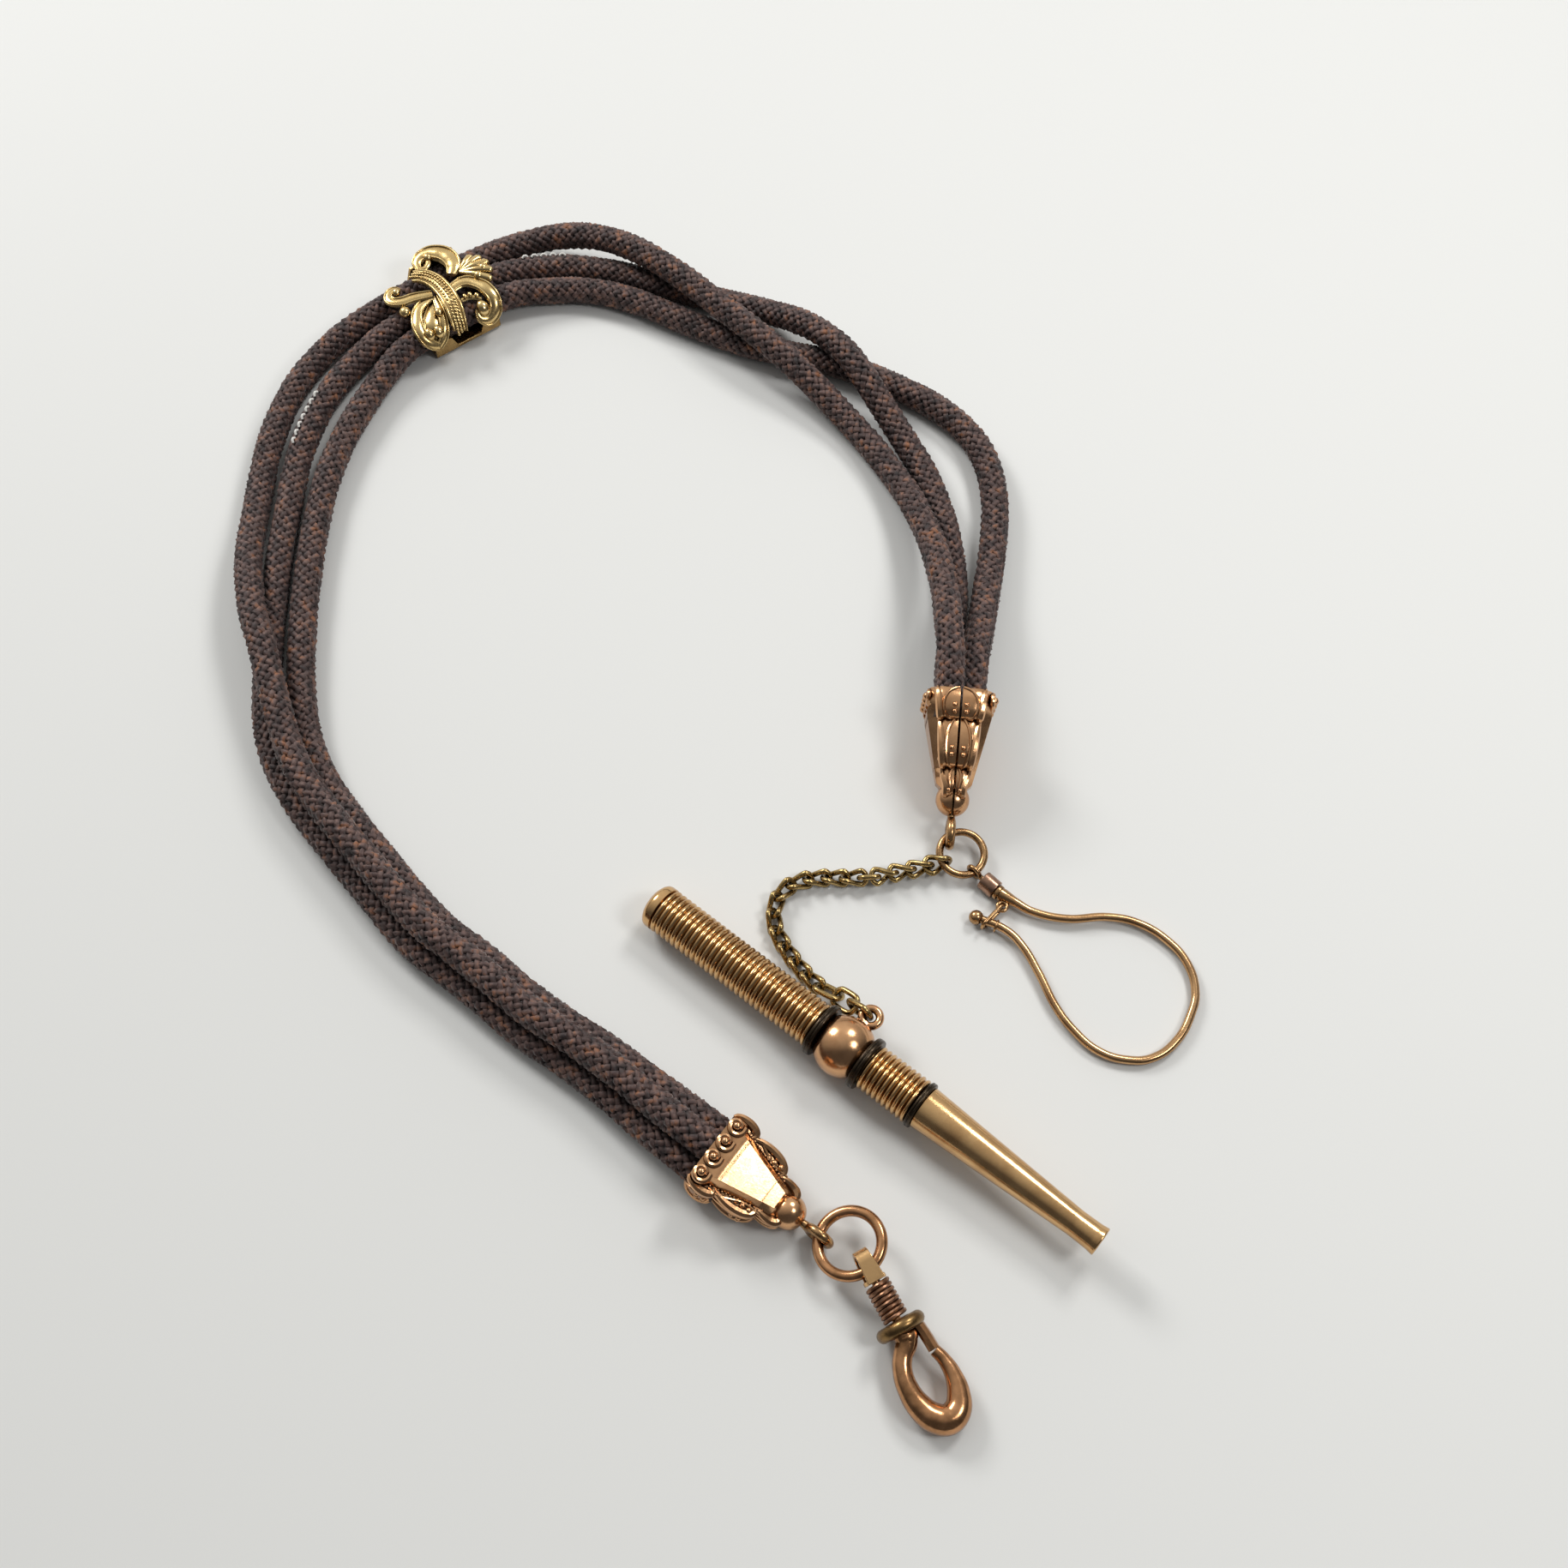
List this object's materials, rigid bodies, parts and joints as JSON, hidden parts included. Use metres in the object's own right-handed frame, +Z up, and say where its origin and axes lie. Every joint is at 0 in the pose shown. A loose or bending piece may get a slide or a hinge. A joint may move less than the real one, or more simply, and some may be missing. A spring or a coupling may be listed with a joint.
{
  "type": "pocket watch fob",
  "caption": "Braided cord vest chain with metal end caps, openwork slider, sprung swivel clasp, and a fine chain carrying a key bar and a wire charm loop.",
  "frame": {"origin": "on the table under the middle of the metal fittings", "axes": "+Z up from the table, +Y from the clasp towards the slider, +X towards the charm loop"},
  "size_m": [0.1286, 0.1749, 0.0121],
  "materials": {
    "braided_cord": "braided",
    "cord_binding": "matte",
    "rose_gold": "polished",
    "pale_gold": "polished",
    "worn_gold": "worn",
    "yellow_gold": "polished",
    "dark_gold": "tarnished",
    "spring_steel": "brushed"
  },
  "bodies": {
    "strap": {"cord_outer": "braided_cord", "cord_middle": "braided_cord", "cord_inner": "braided_cord", "left_cap_front_shell": "rose_gold", "left_cap_back_shell": "rose_gold", "left_cap_cord_binding": "cord_binding", "right_cap_front_shell": "rose_gold", "right_cap_back_shell": "rose_gold", "right_cap_cord_binding": "cord_binding"},
    "slider": {"slider_tray": "pale_gold", "slider_spring_leaf": "spring_steel", "slider_scroll_plate": "pale_gold"},
    "left_eye": {"left_cap_eye_pin": "worn_gold"},
    "clasp_ring": {"clasp_ring": "worn_gold"},
    "clasp_shackle": {"swivel_shackle": "worn_gold"},
    "clasp_hook": {"swivel_hook": "worn_gold", "swivel_spring": "worn_gold"},
    "clasp_collar": {"swivel_collar": "worn_gold"},
    "right_eye": {"right_cap_eye_pin": "worn_gold"},
    "chain_ring": {"chain_ring": "worn_gold"},
    "chain_link_01": {"chain_link_01": "worn_gold"},
    "chain_link_02": {"chain_link_02": "worn_gold"},
    "chain_link_03": {"chain_link_03": "worn_gold"},
    "chain_link_04": {"chain_link_04": "worn_gold"},
    "chain_link_05": {"chain_link_05": "worn_gold"},
    "chain_link_06": {"chain_link_06": "worn_gold"},
    "chain_link_07": {"chain_link_07": "worn_gold"},
    "chain_link_08": {"chain_link_08": "worn_gold"},
    "chain_link_09": {"chain_link_09": "worn_gold"},
    "chain_link_10": {"chain_link_10": "worn_gold"},
    "chain_link_11": {"chain_link_11": "worn_gold"},
    "chain_link_12": {"chain_link_12": "worn_gold"},
    "chain_link_13": {"chain_link_13": "worn_gold"},
    "chain_link_14": {"chain_link_14": "worn_gold"},
    "chain_link_15": {"chain_link_15": "worn_gold"},
    "chain_link_16": {"chain_link_16": "worn_gold"},
    "chain_link_17": {"chain_link_17": "worn_gold"},
    "chain_link_18": {"chain_link_18": "worn_gold"},
    "chain_link_19": {"chain_link_19": "worn_gold"},
    "key_bead": {"key_bead": "rose_gold"},
    "key": {"key_spindle": "yellow_gold", "key_barrel": "yellow_gold", "key_rear_collar": "dark_gold", "key_front_collar": "dark_gold", "key_ribbed_sleeve": "yellow_gold", "key_dark_band": "dark_gold", "key_pipe": "yellow_gold"},
    "loop_eye": {"loop_swivel_eye": "worn_gold"},
    "loop": {"loop_ferrule": "worn_gold", "loop_collar": "worn_gold", "loop_bow": "yellow_gold", "loop_washer": "worn_gold", "loop_ball": "worn_gold"},
    "loop_catch": {"loop_catch_link": "worn_gold"}
  },
  "joints": [
    {"name": "slider_slide", "type": "slide", "parent": "strap", "child": "slider", "axis": [0.8192, 0.5736, 0], "range_m": [-0.002, 0.002]},
    {"name": "left_eye_swivel", "type": "hinge", "parent": "strap", "child": "left_eye", "pos_m": [0.00435, -0.06042, 0.00275], "axis": [0.7899, -0.5952, -0.1478], "continuous": true},
    {"name": "clasp_ring_swing", "type": "hinge", "parent": "left_eye", "child": "clasp_ring", "pos_m": [0.0079, -0.0631, 0.00208], "axis": [0.279, 0.9603, 0], "range_deg": [-25, 25]},
    {"name": "shackle_swing", "type": "hinge", "parent": "clasp_ring", "child": "clasp_shackle", "pos_m": [0.01358, -0.06723, 0.00378], "axis": [0.7974, 0.5833, 0.1548], "range_deg": [-25, 25]},
    {"name": "hook_swivel", "type": "hinge", "parent": "clasp_shackle", "child": "clasp_hook", "pos_m": [0.01358, -0.06723, 0.00378], "axis": [0.4848, -0.8675, -0.1115], "continuous": true},
    {"name": "collar_slide", "type": "slide", "parent": "clasp_hook", "child": "clasp_collar", "axis": [0.4848, -0.8675, -0.1115], "range_m": [-0.0023, 0], "stiffness_N_per_m": 200, "springref_m": 0.002, "deforming": ["swivel_spring"]},
    {"name": "right_eye_swivel", "type": "hinge", "parent": "strap", "child": "right_eye", "pos_m": [0.02569, -0.00741, 0.0035], "axis": [0.0844, 0.9645, 0.2504], "continuous": true},
    {"name": "chain_ring_swing", "type": "hinge", "parent": "right_eye", "child": "chain_ring", "pos_m": [0.02532, -0.01165, 0.002], "axis": [-0.8572, -0.515, 0], "range_deg": [-20, 20]},
    {"name": "chain_link_01_turn", "type": "hinge", "parent": "chain_ring", "child": "chain_link_01", "pos_m": [0.02419, -0.01539, 0.00166], "axis": [0, 0, 1], "range_deg": [-10, 10]},
    {"name": "chain_link_02_turn", "type": "hinge", "parent": "chain_link_01", "child": "chain_link_02", "pos_m": [0.02245, -0.01586, 0.00153], "axis": [0, 0, -1], "range_deg": [-10, 10]},
    {"name": "chain_link_03_turn", "type": "hinge", "parent": "chain_link_02", "child": "chain_link_03", "pos_m": [0.02015, -0.01635, 0.00145], "axis": [0, 0, 1], "range_deg": [-10, 10]},
    {"name": "chain_link_04_turn", "type": "hinge", "parent": "chain_link_03", "child": "chain_link_04", "pos_m": [0.01785, -0.01684, 0.00145], "axis": [0, 0, -1], "range_deg": [-10, 10]},
    {"name": "chain_link_05_turn", "type": "hinge", "parent": "chain_link_04", "child": "chain_link_05", "pos_m": [0.01556, -0.01732, 0.00145], "axis": [0, 0, 1], "range_deg": [-10, 10]},
    {"name": "chain_link_06_turn", "type": "hinge", "parent": "chain_link_05", "child": "chain_link_06", "pos_m": [0.01396, -0.01744, 0.00145], "axis": [0, 0, -1], "range_deg": [-10, 10]},
    {"name": "chain_link_07_turn", "type": "hinge", "parent": "chain_link_06", "child": "chain_link_07", "pos_m": [0.01164, -0.01736, 0.00108], "axis": [0, 0, 1], "range_deg": [-10, 10]},
    {"name": "chain_link_08_turn", "type": "hinge", "parent": "chain_link_07", "child": "chain_link_08", "pos_m": [0.00929, -0.01731, 0.00108], "axis": [0, 0, -1], "range_deg": [-10, 10]},
    {"name": "chain_link_09_turn", "type": "hinge", "parent": "chain_link_08", "child": "chain_link_09", "pos_m": [0.00695, -0.01752, 0.00108], "axis": [0, 0, 1], "range_deg": [-10, 10]},
    {"name": "chain_link_10_turn", "type": "hinge", "parent": "chain_link_09", "child": "chain_link_10", "pos_m": [0.00473, -0.01828, 0.00108], "axis": [0, 0, -1], "range_deg": [-10, 10]},
    {"name": "chain_link_11_turn", "type": "hinge", "parent": "chain_link_10", "child": "chain_link_11", "pos_m": [0.0031, -0.01997, 0.00108], "axis": [0, 0, 1], "range_deg": [-10, 10]},
    {"name": "chain_link_12_turn", "type": "hinge", "parent": "chain_link_11", "child": "chain_link_12", "pos_m": [0.00249, -0.02224, 0.00108], "axis": [0, 0, -1], "range_deg": [-10, 10]},
    {"name": "chain_link_13_turn", "type": "hinge", "parent": "chain_link_12", "child": "chain_link_13", "pos_m": [0.00281, -0.02457, 0.00108], "axis": [0, 0, 1], "range_deg": [-10, 10]},
    {"name": "chain_link_14_turn", "type": "hinge", "parent": "chain_link_13", "child": "chain_link_14", "pos_m": [0.00384, -0.02668, 0.00108], "axis": [0, 0, -1], "range_deg": [-10, 10]},
    {"name": "chain_link_15_turn", "type": "hinge", "parent": "chain_link_14", "child": "chain_link_15", "pos_m": [0.00512, -0.02865, 0.00108], "axis": [0, 0, 1], "range_deg": [-10, 10]},
    {"name": "chain_link_16_turn", "type": "hinge", "parent": "chain_link_15", "child": "chain_link_16", "pos_m": [0.0066, -0.03048, 0.00108], "axis": [0, 0, -1], "range_deg": [-10, 10]},
    {"name": "chain_link_17_turn", "type": "hinge", "parent": "chain_link_16", "child": "chain_link_17", "pos_m": [0.00826, -0.03214, 0.0012], "axis": [0, 0, 1], "range_deg": [-10, 10]},
    {"name": "chain_link_18_turn", "type": "hinge", "parent": "chain_link_17", "child": "chain_link_18", "pos_m": [0.01048, -0.03353, 0.00171], "axis": [0, 0, -1], "range_deg": [-10, 10]},
    {"name": "chain_link_19_turn", "type": "hinge", "parent": "chain_link_18", "child": "chain_link_19", "pos_m": [0.01234, -0.03514, 0.00276], "axis": [0, 0, 1], "range_deg": [-10, 10]},
    {"name": "bead_turn", "type": "hinge", "parent": "chain_link_19", "child": "key_bead", "pos_m": [0.01362, -0.0363, 0.00396], "axis": [0, 0, -1], "range_deg": [-10, 10]},
    {"name": "key_spin", "type": "hinge", "parent": "key_bead", "child": "key", "pos_m": [0.01111, -0.04076, 0.00396], "axis": [0.7769, -0.6291, 0.0262], "continuous": true},
    {"name": "loop_eye_swing", "type": "hinge", "parent": "chain_ring", "child": "loop_eye", "pos_m": [0.02832, -0.01656, 0.00125], "axis": [0.8481, 0.5298, 0.0022], "range_deg": [-40, 10]},
    {"name": "loop_swivel", "type": "hinge", "parent": "loop_eye", "child": "loop", "pos_m": [0.02832, -0.01656, 0.00125], "axis": [0.7192, -0.6946, -0.0175], "continuous": true},
    {"name": "catch_link_swing", "type": "hinge", "parent": "loop", "child": "loop_catch", "pos_m": [0.03164, -0.02134, 0.00115], "axis": [0.0126, -0.0121, 0.9998], "range_deg": [-3, 3]}
  ]
}
